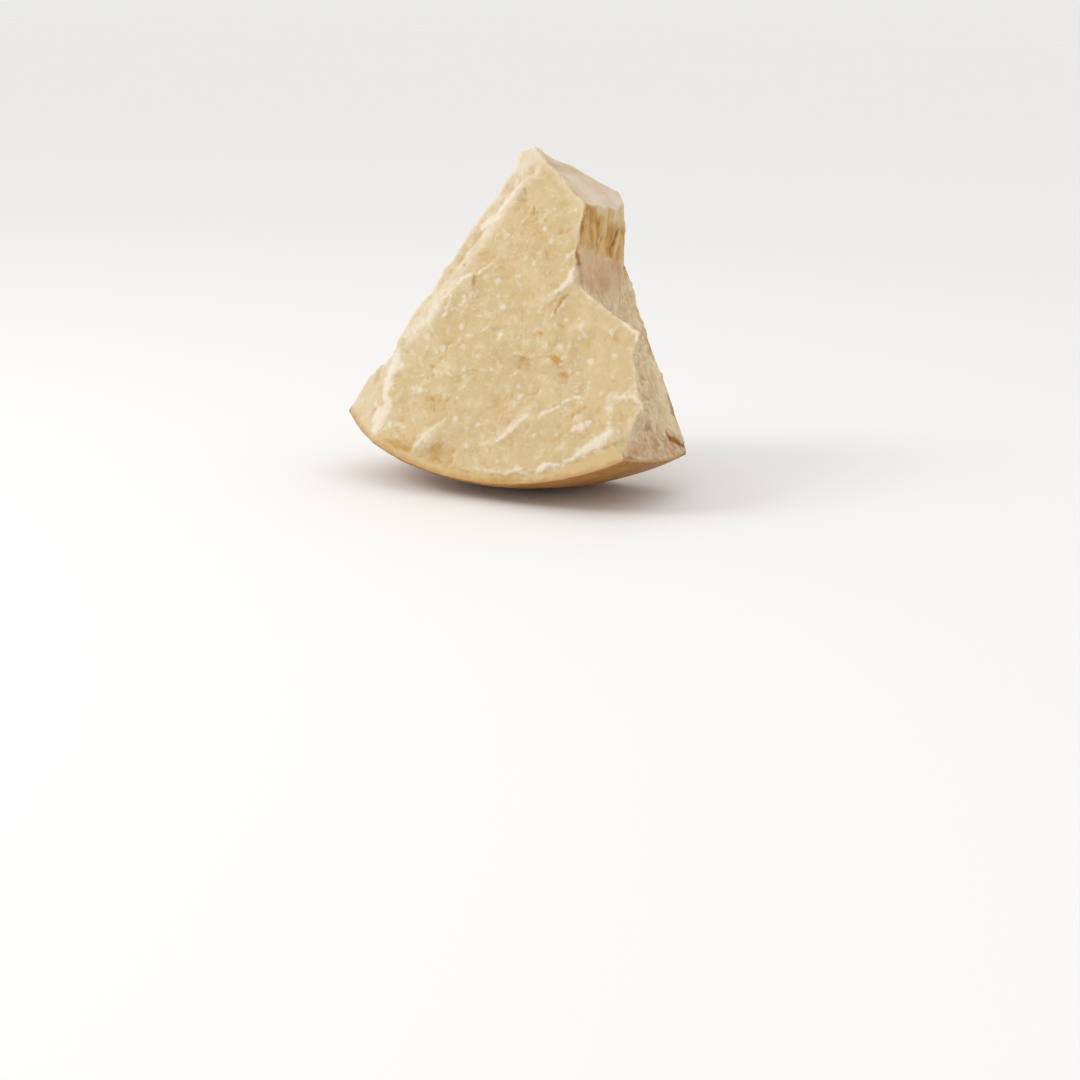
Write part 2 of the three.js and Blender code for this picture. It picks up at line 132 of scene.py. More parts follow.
# These strokes are partly painted light: lighter ones are painted highlight on crests that face the lamp,
# amber ones painted shade in pits and under ledges; partly they are paler and denser paste.
MARKS = (  # of the front face: line of (x, z), width, height, and tone: pale above 0 and amber below
    (((-5, -18), (-13, -26)), 2.6, 0.4, 0.95),
    (((-9, -27), (-15, -36), (-20, -40)), 2.6, 0.3, 0.72),
    (((-16, -42), (-28, -46), (-35, -50)), 2.8, 0.2, 0.85),
    (((-14, -18), (-22, -31), (-31, -46)), 4.4, 0.1, 0.50),
    (((-11, -51), (-7, -62)), 2.1, 0.1, 0.50),
    (((-16, -75), (-26, -83), (-34, -87), (-39, -91)), 1.6, 0.4, 0.80),
    (((47, -74), (47, -83), (44, -87), (38, -92)), 2.0, 0.4, 0.90),
    (((55, -85), (61, -87), (67, -94)), 2.9, 0.2, 1.10),
    (((-4, -3), (-11, -8), (-13, -14)), 6.5, 0.2, 0.80),
    (((13, -61), (21, -60)), 1.2, 0.1, 0.40),
    (((-2, -22), (0, -26)), 1.4, -0.2, -0.70),
    (((2, -40), (22, -62)), 16.0, 0.0, -0.43),
    (((11, -25), (14, -22)), 1.1, -0.3, -0.60),
    (((8, -35), (9, -40)), 1.4, -0.3, -0.80),
    (((19, -40), (19, -43)), 1.8, -0.1, -0.40),
    (((24, -64), (26, -69)), 1.3, -0.2, -0.60),
    (((22, -75), (27, -81)), 2.1, -0.2, -0.50),
    (((30, -77), (31, -79)), 1.0, -0.2, -0.60),
    (((-29, -69), (-18, -67)), 1.8, -0.1, -0.45),
    (((35, -87), (36, -89)), 1.4, -0.2, -0.80),
    (((-41, -77), (-39, -77)), 1.4, -0.1, -0.80),
    (((46, -62), (48, -68), (52, -76), (55, -83)), 1.8, -0.3, -0.55),
    (((46, -92), (44, -95), (42, -99), (40, -103), (40, -106)), 1.2, -1.2, -1.10),
    (((43, -112), (47, -114)), 1.4, -0.3, -0.80),
    (((28, -119), (32, -120)), 1.8, -0.3, -1.00),
    (((65, -99), (67, -101)), 4.6, -0.1, -0.50),
    (((55, -122), (58, -123)), 3.0, -0.1, -0.40),
    (((66, -123), (69, -123)), 3.4, -0.1, -0.40),
    (((12, -128), (21, -133), (33, -134)), 5.0, -0.2, -0.45),
    (((37, -135), (44, -134), (51, -137)), 1.1, -0.5, -0.80),
    (((43, -136), (48, -138), (51, -141)), 3.0, -0.5, -0.65),
    (((45, -133), (47, -139)), 2.0, -0.3, -0.50),
    (((50, -145), (56, -147)), 1.9, -0.4, -0.85),
    (((64, -172), (69, -168), (74, -165)), 2.0, -0.3, -0.80),
    (((85, -138), (85, -140)), 1.8, -0.2, -0.40),
    (((78, -149), (80, -153)), 3.9, -0.2, -0.35),
    (((14, -123), (10, -131)), 1.3, 0.3, 0.60),
    (((61, -112), (64, -118)), 2.1, 0.2, 0.50),
    (((55, -164), (59, -161), (65, -159), (70, -160)), 1.6, 0.4, 0.80),
    (((72, -154), (72, -147)), 1.7, 0.3, 0.60),
    (((41, -176), (42, -173), (48, -170), (54, -167)), 1.6, 0.4, 0.80),
    (((14, -195), (20, -189), (28, -181), (33, -175)), 2.0, 0.5, 0.90),
    (((67, -181), (73, -179), (79, -175)), 3.0, 0.3, 0.90),
    (((-24, -95), (-29, -102), (-34, -112)), 3.5, 0.1, 0.50),
    (((-77, -201), (-64, -204), (-52, -207)), 6.0, 0.0, -0.50),
    (((93, -171), (92, -165), (95, -157)), 2.8, 0.2, 0.50),
    (((96, -156), (105, -154), (114, -158)), 2.6, 0.2, 0.80),
    (((101, -151), (105, -146), (104, -138)), 1.4, 0.2, 0.55),
    (((91, -107), (98, -109), (103, -112), (102, -118)), 3.2, 0.4, 1.40),
    (((24, -217), (32, -212), (37, -211)), 1.6, 0.4, 0.80),
    (((38, -215), (45, -213), (52, -208), (62, -207), (72, -200)), 2.6, 0.7, 1.20),
    (((72, -200), (80, -194), (88, -187), (96, -180)), 4.6, 0.9, 1.05),
    (((86, -195), (94, -192)), 1.6, 0.2, 0.80),
    (((99, -187), (103, -190), (106, -193), (112, -197)), 1.3, -0.6, -0.85),
    (((37, -212), (46, -211)), 2.1, -0.3, -0.70),
    (((70, -208), (85, -202), (98, -195)), 2.5, 0.0, -0.35),
    (((-35, -90), (-39, -93), (-45, -98), (-51, -103)), 2.1, 0.4, 0.80),
    (((-42, -100), (-43, -107), (-45, -113), (-47, -116)), 1.7, 0.3, 0.70),
    (((-54, -98), (-54, -107), (-46, -114)), 1.7, 0.2, 0.60),
    (((-56, -108), (-60, -117), (-69, -125), (-77, -130)), 4.2, 0.1, 0.70),
    (((-46, -102), (-46, -106)), 1.8, -0.3, -0.35),
    (((-79, -143), (-81, -150), (-84, -160), (-85, -172)), 4.4, 0.5, 1.30),
    (((-85, -170), (-81, -179), (-83, -188), (-89, -204)), 4.4, 0.6, 1.20),
    (((-92, -178), (-88, -184), (-91, -192)), 2.6, 0.3, 0.80),
    (((-64, -166), (-58, -166), (-51, -167)), 2.3, 0.2, 0.60),
    (((-23, -148), (-24, -155)), 2.3, 0.1, 0.50),
    (((0, -119), (-1, -125)), 2.3, 0.1, 0.50),
    (((-53, -156), (-52, -158)), 1.4, -0.3, -0.60),
    (((-46, -171), (-45, -173)), 1.8, -0.3, -0.90),
    (((-51, -170), (-44, -173), (-37, -174), (-31, -175)), 6.0, -0.3, -0.42),
    (((-34, -172), (-30, -168)), 1.4, -0.2, -0.40),
    (((-44, -178), (-42, -181)), 1.3, -0.3, -0.60),
    (((-80, -197), (-75, -192), (-67, -192), (-61, -195)), 1.8, 0.3, 0.60),
    (((-71, -201), (-63, -200)), 1.6, 0.3, 0.50),
    (((-69, -195), (-67, -197)), 2.1, -0.5, -0.50),
    (((-34, -189), (-42, -196), (-47, -202), (-50, -208)), 3.6, 0.3, 0.60),
    (((-30, -202), (-35, -208), (-36, -212), (-29, -214)), 3.4, -0.6, -0.80),
    (((-85, -207), (-72, -208), (-55, -209)), 4.1, -0.1, -0.70),
    (((-24, -217), (-11, -219), (1, -222), (21, -221), (34, -219)), 3.9, 0.0, -0.90),
    (((-2, -215), (7, -216), (15, -216)), 2.3, 0.2, 0.60),
    (((-2, -198), (1, -197)), 2.3, 0.2, 0.60),
)
# Their strokes are partly painted shade in the cracks, the slot and behind the lip, partly the paste's own
# colour.
RIGHT_MARKS = (  # of the right face: line of (depth, reach), width, height, tone
    (((53, 47), (50, 54), (50, 58), (48, 63), (49, 67)), 1.7, -1.6, -1.15),
    (((0, 44), (2, 55), (4, 66)), 2.6, -0.2, -0.75),
    (((-2, 73), (0, 81)), 2.6, -0.4, -0.55),
    (((-1, 81), (1, 90), (1, 97)), 2.4, -0.2, -0.45),
    (((20, 44), (21, 50), (22, 56)), 2.2, -0.6, -0.65),
    (((29, 58), (29, 63)), 2.2, -0.4, -0.50),
    (((66, 40), (70, 50), (66, 60)), 2.6, -0.3, -0.35),
    # these two are painted shadow behind the overhanging lip, over shallow hollows
    (((70, 130), (70, 142), (68, 152)), 7.0, -0.3, -0.50),
    (((61, 162), (62, 171)), 4.0, -0.2, -0.50),
    (((47, 191), (40, 194), (32, 197)), 3.6, -0.4, -0.80),
    (((88, 184), (91, 187.5), (97, 190), (108, 193.5)), 2.0, -2.6, -2.00),
    (((88, 185), (82, 191), (73, 197)), 1.2, -0.8, -0.70),
    (((92, 179), (101, 183), (112, 190)), 2.4, 0.5, 0.50),
    (((101, 118), (101, 150), (100, 180)), 7.0, 0.2, 0.50),
)
FRONT_CRYSTALS = (  # x, z, radius
    (19, -48, 1.9), (26, -57, 1.9), (41, -66, 2.3), (16, -72, 1.9), (-10, -87, 2.1),
    (-2, -104, 2.4), (-27, -64, 1.7), (-29, -55, 1.6), (-8, -55, 1.7), (27, -105, 1.4),
    (46, -128, 2.6), (70, -135, 2.6), (87, -129, 2.1), (48, -109, 1.7), (20, -156, 1.6),
    (22, -163, 2.3), (64, -118, 1.7), (15, -148, 1.6), (12, -171, 1.4), (60, -120, 1.2),
    (40, -137, 1.0), (58, -168, 1.2), (-32, -120, 2.4), (-25, -126, 1.9), (-58, -129, 2.4),
    (-44, -136, 2.6), (-49, -139, 1.6), (-75, -150, 1.9), (-1, -123, 2.1), (-2, -147, 1.6),
    (-14, -139, 1.6), (-23, -184, 2.1), (11, -178, 1.0), (-21, -208, 1.4), (-20, -96, 0.9),
    (-7, -97, 1.4), (-25, -169, 1.2), (-36, -169, 1.7), (-56, -167, 1.7),
)
LEFT_EDGE = ((-4, 6), (-40, -64), (-80, -143))  # its rounded edge
GRAIN_ANGLE = math.radians(40)  # the front's plates run up to the right


def linear(hex_colour):
    """An sRGB hex colour as linear red, green, blue and alpha."""
    parts = [int(hex_colour[i : i + 2], 16) / 255 for i in (1, 3, 5)]
    return tuple(c / 12.92 if c <= 0.04045 else ((c + 0.055) / 1.055) ** 2.4 for c in parts) + (1.0,)


def colour_property(name, description, hex_colour):
    colour = linear(hex_colour)
    return bpy.props.FloatVectorProperty(
        name=name, description=description, subtype="COLOR", size=4, min=0, max=1, default=colour
    )


def length_property(name, description, millimetres):
    length = millimetres * MM
    return bpy.props.FloatProperty(
        name=name, description=description, subtype="DISTANCE", unit="LENGTH", min=0, default=length
    )


class CheeseShape(bpy.types.PropertyGroup):
    """Sizes of the chunk's broken surface."""

    cell: length_property("Cell", "Edge of the cells that the surface is rebuilt from", 1.0)
    crumb: length_property("Crumb height", "Height of the crumbly grain on the broken faces", 0.6)
    flake: length_property("Flake height", "Height of the thin broken flakes", 1.1)
    crystal: length_property("Crystal height", "How far the white crystals stand out", 0.2)
    crystals: bpy.props.IntProperty(
        name="Crystals", description="Crystals over the whole surface", default=300, min=0
    )
    triangles: bpy.props.IntProperty(
        name="Triangles", description="Triangles of the finished mesh", default=190000
    )
    seed: bpy.props.IntProperty(name="Seed", description="Seed of the scattered crystals", default=7)


class CheeseColours(bpy.types.PropertyGroup):
    """Colours of the cheese and its rind."""

    paste: colour_property("Paste", "The broken cheese", "#d0b98b")
    # The lighter colour is laid on crests and bulges, partly as painted highlight; the amber one is laid in
    # hollows and creases as painted shade.
    pale_and_highlight: colour_property("Pale paste", "Crests and fresh breaks", "#eee3d1")
    amber: colour_property("Amber paste", "Hollows and dense places", "#c1924c")
    band: colour_property("Band", "Dense cheese inside the rind", "#d5b985")
    rind: colour_property("Rind", "The dry outer skin", "#9f6b2a")
    rind_dark: colour_property("Dark rind", "Oiled and worn places of the rind", "#704519")
    crystal: colour_property("Crystal", "The white crystals", "#efe6da")


class CheeseStage(bpy.types.PropertyGroup):
    """Floor, light and camera."""

    floor: colour_property("Floor", "The plain floor", "#fafafa")
    key: bpy.props.FloatProperty(
        name="Key light", description="Power of the large soft light", default=11, min=0, unit="POWER"
    )
    fill: bpy.props.FloatProperty(
        name="Fill light", description="Strength of the light from all round", default=0.86, min=0
    )
    backdrop: bpy.props.FloatProperty(
        name="Backdrop", description="Brightness of the backdrop", default=0.825, min=0
    )
    lens: bpy.props.FloatProperty(
        name="Lens", description="Focal length on a 36 mm sensor", default=69.5, min=1, unit="CAMERA"
    )


# ---- Measures on the surface ----


def smoothstep(start, end, value):
    """0 before start and 1 past end, with a smooth ramp between them; end may be the smaller."""
    share = np.clip((value - start) / (end - start), 0, 1)
    return share * share * (3 - 2 * share)


def within(share, *limits):
    """A share that holds only inside all the limits: each is (values, (start, end))."""
    for values, (start, end) in limits:
        share = share * smoothstep(start, end, values)
    return share


def to_wheel(vectors):
    """Vectors of the row frame, turned into the wheel's frame."""
    x, y, z = vectors.T
    c, s = math.cos(LEAN), math.sin(LEAN)
    return np.stack([x, y * c - z * s, y * s + z * c], 1)


def to_row(vectors):
    """Vectors of the wheel's frame, turned into the row frame."""
    x, t, z = vectors.T
    c, s = math.cos(LEAN), math.sin(LEAN)
    return np.stack([x, t * c + z * s, z * c - t * s], 1)


def rind_gap(places):
    """Millimetres from each place outwards to the rind."""
    x, t, z = places.T
    narrower = (BELLY_RADIUS - EDGE_RADIUS) * np.abs(t / HALF_HEIGHT) ** BARREL_POWER
    side = BELLY_RADIUS - narrower - np.hypot(x, z)
    flat = HALF_HEIGHT - t
    corner = RIM_ROUND - np.hypot(np.maximum(RIM_ROUND - side, 0), np.maximum(RIM_ROUND - flat, 0))
    return np.where((side < RIM_ROUND) & (flat < RIM_ROUND), corner, np.minimum(side, flat))


def band_share(places):
    """0 at the rind and 1 where its dense band ends."""
    x, t, z = places.T
    turn = np.degrees(np.arctan2(x, -z))
    return rind_gap(places) / (BAND_LEFT + (BAND_RIGHT - BAND_LEFT) * smoothstep(*BAND_TURN, turn))


def hills(places, size, seed):
    """Smooth noise of about -1 to 1 with hills `size` millimetres across; size may differ by axis."""
    spots = places / np.asarray(size, float) + np.array([17.3, 5.7, 3.1]) * seed
    return np.fromiter((noise.noise(p) for p in spots.tolist()), float, len(places))


def rough(places, layers):
    """Hills of several sizes added up: each layer is (size, seed, height)."""
    return sum(height * hills(places, size, seed) for size, seed, height in layers)


def granules(places, size, seed):
    """For each place the centre of the granule or plate that it lies in."""
    shift, size = np.array([11.9, 7.7, 2.3]) * seed, np.asarray(size, float)
    centre = np.empty((len(places), 3))
    for i, spot in enumerate((places / size + shift).tolist()):
        centre[i] = noise.voronoi(spot)[1][0]
    return (centre - shift) * size


def warped(places, size, reach, seed):
    """Places pushed about by smooth noise, so that what is laid on them wanders."""
    return places + reach * np.stack([hills(places, size, seed + k) for k in range(3)], 1)


def plates(places, size, tilt, level, seed):
    """Height of flat plates, each tilted and raised by chance, as a brittle paste breaks."""
    centre = granules(places, size, seed)
    lean = np.stack([hills(centre, 5.3, seed + k) for k in range(3)], 1)
    slope = ((places - centre) / np.asarray(size, float) * lean).sum(1)
    return tilt * slope + level * hills(centre, 7.1, seed + 3)


def line_gap(x, z, line):
    """Signed distance of points to a line on a face, positive on its left, and the share along it."""
    best, side, share = np.full(len(x), 1e9), np.ones(len(x)), np.zeros(len(x))
    lengths = [math.dist(a, b) for a, b in zip(line, line[1:])]
    done = 0.0
    for (a, b), length in zip(zip(line, line[1:]), lengths):
        along = ((b[0] - a[0]) / length, (b[1] - a[1]) / length)
        way = (x - a[0]) * along[0] + (z - a[1]) * along[1]
        held = np.clip(way, 0, length)
        gap = np.hypot(x - a[0] - held * along[0], z - a[1] - held * along[1])
        left = (z - a[1]) * along[0] - (x - a[0]) * along[1]
        nearer = gap < best
        best[nearer], side[nearer] = gap[nearer], np.where(left[nearer] >= 0, 1, -1)
        share[nearer] = ((done + way) / sum(lengths))[nearer]
        done += length
    return best * side, share


def marked(x, z, marks, column):
    """The marks of a face added up: column 2 gives their height in millimetres, column 3 their tone."""
    total = np.zeros(len(x))
    for mark in marks:
        gap, way = line_gap(x, z, mark[0])
        width = mark[1] * (1.1 - 0.6 * np.abs(2 * np.clip(way, 0, 1) - 1) ** 2)
        total += mark[column] * np.exp(-((gap / width) ** 2))
    return total


def wandering(a, b, places):
    """Two coordinates on a face, pushed about by small noise."""
    return (
        a + 1.0 * hills(places, 6, 25) + 0.6 * hills(places, 2.6, 26),
        b + 1.0 * hills(places, 6, 27) + 0.6 * hills(places, 2.6, 28),
    )


# ---- Mesh steps ----


def evaluated(mesh, modifiers):
    """The mesh with modifiers applied: each is (type, settings)."""
    obj = bpy.data.objects.new("work", mesh)
    bpy.context.scene.collection.objects.link(obj)
    for kind, settings in modifiers:
        modifier = obj.modifiers.new(kind.title(), kind)
        for name, value in settings.items():
            setattr(modifier, name, value)
    result = bpy.data.meshes.new_from_object(obj.evaluated_get(bpy.context.evaluated_depsgraph_get()))
    bpy.data.objects.remove(obj)
    bpy.data.meshes.remove(mesh)
    return result


def merged_copy(node):
    """A copy of a node's mesh with its triangles joined and its sharp edges creased."""
    bm = bmesh.new()
    bm.from_mesh(node.data)
    bmesh.ops.remove_doubles(bm, verts=bm.verts, dist=1e-6)
    bmesh.ops.dissolve_degenerate(bm, edges=bm.edges, dist=1e-5)
    crease = bm.edges.layers.float.new("crease_edge")
    for edge in bm.edges:
        if len(edge.link_faces) == 2 and edge.calc_face_angle() > CREASE_ANGLE:
            edge[crease] = CREASE
    mesh = bpy.data.meshes.new("work")
    bm.to_mesh(mesh)
    bm.free()
    return mesh


def read(mesh, name, width=3, items="vertices"):
    """One of the mesh's measures, as an array with a row for each item."""
    values = np.empty(len(getattr(mesh, items)) * width)
    getattr(mesh, items).foreach_get(name, values)
    return values.reshape(-1, width)


def relaxed(points, edges, rounds):
    """Points drawn towards the mean of their neighbours, again and again."""
    a, b = edges.T
    count = np.bincount(a, minlength=len(points)) + np.bincount(b, minlength=len(points))
    for _ in range(rounds):
        total = np.stack(
            [
                np.bincount(a, points[b, k], len(points)) + np.bincount(b, points[a, k], len(points))
                for k in range(points.shape[1])
            ],
            1,
        )
        points = 0.5 * points + 0.5 * total / count[:, None]
    return points


def scatter_crystals(places, normals, settings):
    """Crystals as (centre, radius): the large ones of the front face, then seeded ones all over."""
    draw = random.Random(settings.seed)
    front = np.flatnonzero(normals[:, 1] < -0.6)
    found = []
    for x, z, radius in FRONT_CRYSTALS:
        nearest = front[np.argmin(np.hypot(places[front, 0] - x, places[front, 2] - z))]
        found.append((Vector(places[nearest]), radius))
    grid = {}
    for centre, radius in found:
        grid.setdefault(tuple(int(c // CRYSTAL_CELL) for c in centre), []).append(centre)
    gap = rind_gap(places)
    while len(found) < settings.crystals:
        i = draw.randrange(len(places))
        if gap[i] < CRYSTAL_FROM_RIND:
            continue
        centre = Vector(places[i])
        key = tuple(int(c // CRYSTAL_CELL) for c in centre)
        cells = (tuple(k + e - 1 for k, e in zip(key, d)) for d in np.ndindex(3, 3, 3))
        if any((p - centre).length < CRYSTAL_APART for cell in cells for p in grid.get(cell, ())):
            continue
        grid.setdefault(key, []).append(centre)
        found.append((centre, CRYSTAL_SMALLEST + CRYSTAL_SPREAD * draw.random() ** CRYSTAL_RARITY))
    return found


def crystal_gap(places, crystals):
    """Millimetres from each place to the nearest crystal's edge, negative inside it."""
    tree = kdtree.KDTree(len(crystals))
    for i, (centre, _) in enumerate(crystals):
        tree.insert(centre, i)
    tree.balance()
    result = np.empty(len(places))
    for i, place in enumerate(places.tolist()):
        _, nearest, gap = tree.find(place)
        result[i] = gap - crystals[nearest][1]
    return result


def front_grain(places):
    """Places turned so that the first axis runs along the front's plates."""
    x, t, z = places.T
    c, s = math.cos(GRAIN_ANGLE), math.sin(GRAIN_ANGLE)
    return warped(np.stack([x * c + z * s, t, z * c - x * s], 1), 10, 3.0, 30)


def chipped_lines(grain, places):
    """0 to 1 on short broken crests along the plates."""
    line = 0.3 - np.abs(hills(grain, (17, 9, 5.5), 36))
    return smoothstep(0.19, 0.30, line) * smoothstep(0.05, 0.40, hills(places, 17, 37))


def zones(places, normals):
    """How much each place belongs to each part of the surface, and its reach from the wheel's axis."""
    x, t, z = places.T
    reach = (x - RIGHT_SHIFT) * math.sin(RIGHT_ANGLE) - z * math.cos(RIGHT_ANGLE)
    outward = (x - RIGHT_SHIFT) * math.cos(RIGHT_ANGLE) + z * math.sin(RIGHT_ANGLE)
    right = smoothstep(0.25, 0.55, normals @ RIGHT_OUT)
    top = within(smoothstep(0.82, 0.92, normals @ TOP_OUT + 0.04 * hills(places, 5, 64)), (z, FACET_FOOT))
    right = right * (1 - top)
    edge_gap, _ = line_gap(x, z, LEFT_EDGE)
    # the borders between the parts wander
    drift = reach + 6 * hills(places, 22, 61) + 5 * hills(places, 7, 62)
    border = reach + 0.12 * (t - 25) + 3.5 * hills(places, 19, 65) + 2.5 * hills(places, 6, 66)
    back = t + 16 * hills(places, 17, 67)
    foot = drift + 0.12 * (t - 40) + 5 * hills(places, 13, 68)
    return {
        "rind": within(1, (rind_gap(places), SKIN_GAP)),
        "front": smoothstep(0.45, 0.75, -normals[:, 1]),
        "left": smoothstep(0.2, 0.5, -normals[:, 0]),
        "left_edge": within(1, (np.abs(edge_gap), LEFT_EDGE_WIDTH), (t, LEFT_EDGE_DEPTH)),
        "right": right,
        "torn": within(right, (border, TORN_END), (t, TORN_FRONT), (reach, TORN_START)),
        "smooth": within(right, (border, SMOOTH_START), (drift, SMOOTH_END), (back, SMOOTH_BACK)),
        "foot": within(right, (foot, FOOT_START)),
        "bare": within(right, (drift, BARE_END), (t, BARE_FRONT)),
        "lip": within(1, (outward, LIP_OUT), (drift, LIP_START), (drift, LIP_END)),
        "top": top,
        "reach": reach,
    }


def near_facet(places, edges, top):
    """1 on the facet at the top and over its edges, and 0 away from it."""
    level = places @ TOP_OUT
    plane = np.median(level[top > 0.9])
    slab = within(1, (np.abs(level - plane), FACET_SLAB), (places[:, 2], FACET_SLAB_END))
    spread = smoothstep(0.05, 0.25, relaxed(top[:, None], edges, FACET_SPREAD)[:, 0])
    return np.maximum(slab, spread)


def rounded(places, soft, edges, share):
    """Places drawn to their soft copy by share, with some of a ridge's height given back."""
    back = ROUND_BACK * relaxed(places - soft, edges, ROUND_EDGES)
    return places + (soft - places + back) * share[:, None]


def broken_relief(places, edges, bulge, zone, crystals, settings):
    """Height of the fine relief over each place, in millimetres. bulge says how far it stands out."""
    crumb, flake = settings.crumb / MM, settings.flake / MM
    x, t, z = places.T
    front, right, torn = zone["front"], zone["right"], zone["torn"]
    calm = np.maximum(zone["by_top"], zone["smooth"])

    # the paste breaks in plates: broad ones, then small ones, that run up to the right on the front
    bent = front_grain(places)
    broad = plates(bent, *BROAD_PLATES)
    small = plates(warped(bent, 2.6, 0.9, 33), *SMALL_PLATES)
    height = relaxed(np.stack([broad, small], 1), edges, EVEN_PLATES).sum(1) * (1 - 0.8 * torn)
    height += 0.14 * (broad + small) * smoothstep(0.1, 0.5, hills(places, 13, 31)) * (1 - 0.8 * torn)
    height *= 1 + 0.8 * np.maximum(zone["left"], right * (1 - torn)) * (1 - front)
    height += rough(places, FINE_LUMPS)
    height += 0.4 * chipped_lines(bent, places) * (1 - 0.7 * right)

    # where it is crumbly, it breaks round the curd's granules
    centre = granules(places, GRANULE, 8)
    patch = smoothstep(0.0, 0.5, hills(places, 22, 3))
    crumbly = 0.14 + 0.5 * patch + 0.25 * zone["left"] * (1 - front) + 0.35 * right + 0.4 * zone["foot"]
    crumbly = np.clip(crumbly, 0, 1) * (1 - 0.85 * calm) * (1 - 0.6 * torn)
    crests = 0.3 - np.abs(hills(places, 4.4, 6))
    height += crumb * crumbly * (1.1 * hills(centre, 11, 22) + 1.1 * crests + 0.5 * hills(places, 2.2, 23))
    height -= 0.7 * crumbly * smoothstep(0.42, 0.66, hills(places, 3.4, 24))

    # flakes: thin steps whose crests run from the lower left to the upper right
    chunky = 0.5 * (places + centre)
    saw = bent[:, 2] / FLAKE_WIDTH + 0.02 * t + 1.7 * hills(chunky, 23, 9) + 0.25 * hills(places, 6, 10)
    share = saw - np.floor(saw)
    step = np.where(share < FLAKE_CREST, share / FLAKE_CREST, smoothstep(1, FLAKE_CREST, share))
    height += 0.4 * flake * step * smoothstep(0.05, 0.45, hills(places, 19, 11)) * (1 - torn) * (1 - calm)
    height *= 1 - 0.75 * calm

    # the smooth part of the right face is only faintly grained
    height += zone["smooth"] * rough(places, SMOOTH_GRAIN)

    # torn streaks on the upright part of the right face, along the wheel's radius
    outward = x * math.cos(RIGHT_ANGLE) + z * math.sin(RIGHT_ANGLE)
    radial = warped(np.stack([zone["reach"], t, outward], 1), 9, 1.2, 63)
    height += torn * rough(radial, TORN_STREAKS)
    height += torn * (rough(radial, TORN_FIBRES) + rough(places, TORN_CRUMBS))
    lower = (right - torn - zone["foot"]).clip(0, 1) * (1 - calm)
    height += lower * rough(radial, LOWER_WAVES)
    height += right * marked(*wandering(t, zone["reach"], places), RIGHT_MARKS, 2)

    # scarps and marks of the front face
    wander = 1.1 * hills(places, 7, 15) + 0.7 * hills(places, 2.8, 16)
    for line, rise, drop, fade in SCARPS:
        side, way = line_gap(0.85 * x + 0.15 * centre[:, 0], 0.85 * z + 0.15 * centre[:, 2], line)
        side = side + wander
        ends = within(1, (way, SCARP_START), (way, SCARP_END))
        near = np.where(side > 0, np.exp(-np.abs(side) / fade), smoothstep(-drop, 0, side))
        height += front * rise * ends * near * (0.8 + 0.8 * crests)
    uneven = 0.75 + 1.1 * hills(places, 3.0, 26)
    height += front * marked(*wandering(x, z, places), MARKS, 2) * uneven

    # the torn cheese stands in front of the smooth band with a ragged edge
    share = band_share(chunky) + 0.10 * hills(places, 8, 18) + 0.07 * hills(places, 3, 19)
    turned = smoothstep(-12, 8, np.degrees(np.arctan2(x, -z)))
    ragged = smoothstep(0.93, 1.05, share) * np.exp(-np.maximum(share - 1, 0) / 0.6)
    in_band = smoothstep(1.0, 0.85, share) * front
    height = height * (1 - 0.7 * in_band) + front * turned * ragged * (0.9 + 1.2 * crests)

    # edges between the broken faces have crumbled: granules are missing from them
    sharp = smoothstep(0.5, 1.5, bulge)
    for part, kept in (("rind", 1), ("by_top", 1), ("left_edge", 1), ("lip", 0.7)):
        sharp = sharp * (1 - kept * zone[part])
    missing = smoothstep(-0.1, 0.35, hills(centre, 6, 28)) * (0.6 + hills(places, 2.6, 29))
    height -= sharp * 1.5 * missing

    height += settings.crystal / MM * smoothstep(0.4, -0.5, crystal_gap(places, crystals))
    return height * (1 - zone["rind"]) + rough(places, SKIN_LUMPS) * zone["rind"]


